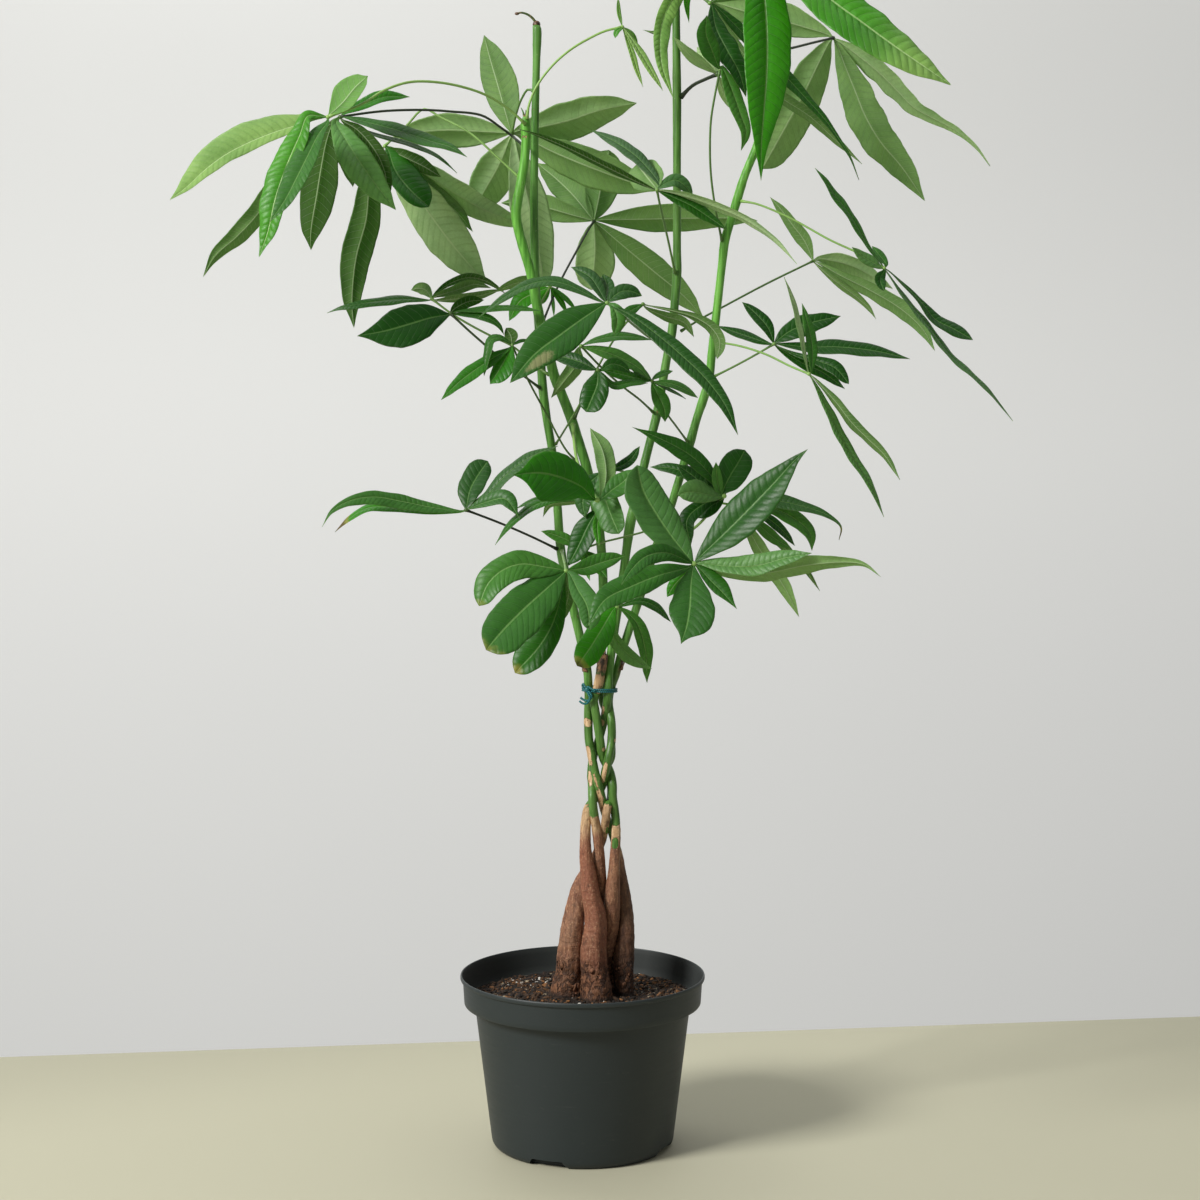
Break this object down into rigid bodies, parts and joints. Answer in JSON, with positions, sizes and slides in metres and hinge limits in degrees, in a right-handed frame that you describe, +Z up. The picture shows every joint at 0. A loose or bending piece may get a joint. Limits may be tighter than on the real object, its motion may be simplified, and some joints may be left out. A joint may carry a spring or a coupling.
{
  "type": "potted money tree",
  "caption": "money tree house plant with braided swollen trunks and hand-shaped compound leaves, standing in a round stepped nursery pot of potting mix",
  "frame": {"origin": "centre of the pot's flat foot, on the surface it stands on", "axes": "+Z up along the plant, -Y towards the plant's fullest side, +X to its right"},
  "size_m": [0.8078, 0.472, 1.4378],
  "materials": {
    "pot_plastic": "moulded satin, charcoal",
    "potting_mix": "loose, matt",
    "bark_and_stem": "bark at the foot, smooth green above",
    "tie_wire": "soft coated wire",
    "leaf_green": "smooth, slightly waxy",
    "leaf_young": "glossy young leaf",
    "leaf_dark": "dark, shaded underside"
  },
  "bodies": {
    "root": {"pot": "pot_plastic", "soil": "potting_mix", "stem_tie": "tie_wire", "trunk_right_back": "bark_and_stem", "trunk_right_front": "bark_and_stem", "trunk_centre_back": "bark_and_stem", "trunk_front": "bark_and_stem", "trunk_left": "bark_and_stem", "leaf_left_young": "leaf_young", "leaf_left_mature": "leaf_green", "leaf_left_inner": "leaf_dark", "leaf_top_left": "leaf_dark", "leaf_middle_back": "leaf_dark", "leaf_middle_front": "leaf_green", "leaf_top_young": "leaf_young", "leaf_top_bright": "leaf_young", "leaf_inner_dark": "leaf_dark", "leaf_inner_drooping": "leaf_green", "leaf_upper_hub": "leaf_green", "leaf_crown_front": "leaf_young", "leaf_right_back": "leaf_dark", "leaf_crown_back": "leaf_green", "leaf_crown_right": "leaf_green", "shoot_top": "leaf_young", "leaf_left_low": "leaf_dark", "leaf_left_dark": "leaf_green", "leaf_left_small": "leaf_green", "leaf_centre_front": "leaf_green", "leaf_centre_grey": "leaf_green", "leaf_centre_small": "leaf_green", "leaf_centre_shaded": "leaf_green", "leaf_centre_low": "leaf_green", "leaf_centre_right": "leaf_green", "leaf_right_dark": "leaf_green", "leaf_right_narrow": "leaf_green", "leaf_right_far": "leaf_dark", "leaf_right_trailing": "leaf_green", "leaf_low_left": "leaf_green", "leaf_low_hidden": "leaf_green", "leaf_low_centre": "leaf_green", "leaf_low_glossy": "leaf_green", "leaf_low_small": "leaf_green", "leaf_low_veined": "leaf_green", "leaf_low_fan": "leaf_green", "leaf_front_large": "leaf_green", "leaf_low_right_upper": "leaf_green", "leaf_low_right_back": "leaf_green", "leaf_low_front": "leaf_green"}
  },
  "joints": []
}
